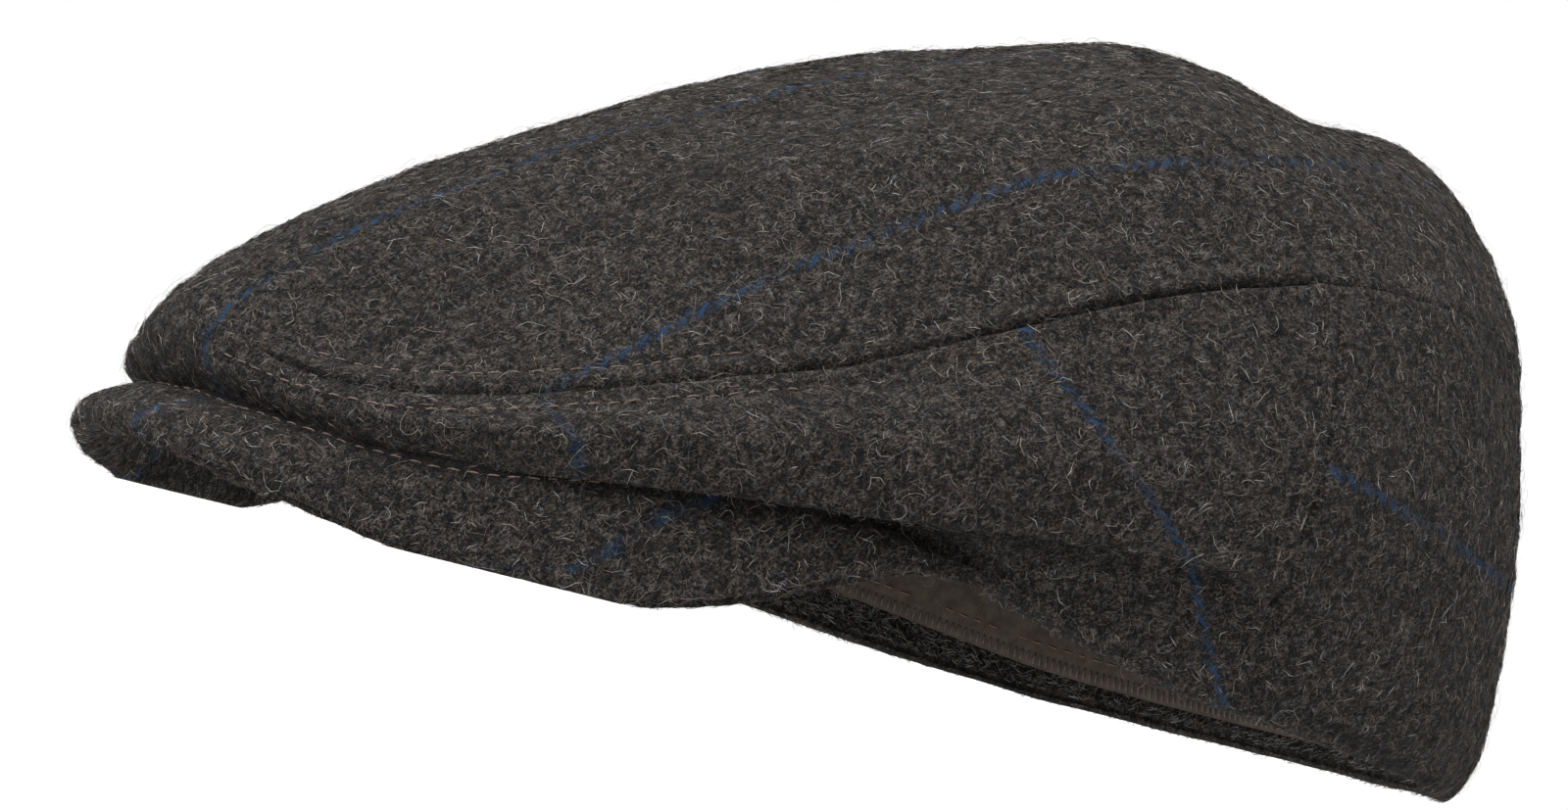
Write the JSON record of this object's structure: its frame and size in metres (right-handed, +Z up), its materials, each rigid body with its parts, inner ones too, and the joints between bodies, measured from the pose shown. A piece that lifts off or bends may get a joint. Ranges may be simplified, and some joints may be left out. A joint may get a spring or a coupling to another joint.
{
  "type": "flat cap",
  "caption": "Soft tweed flat cap with a rounded crown that falls forward onto a short curved peak, and an open lined hollow for the head.",
  "frame": {"origin": "middle of the cap's bounding box in plan, on the surface that it lies on", "axes": "+Z up from that surface, -Y towards the peak, +X to the wearer's left"},
  "size_m": [0.1928, 0.2566, 0.1145],
  "materials": {
    "tweed": "dark grey-brown wool tweed with blue and dark stripes, matt and fuzzy",
    "lining_cloth": "dark brown woven lining, slightly smooth"
  },
  "bodies": {
    "root": {"top_panel": "tweed", "side_panel_left": "tweed", "side_panel_right": "tweed", "back_panel": "tweed", "peak": "tweed", "lining": "lining_cloth"}
  },
  "joints": []
}
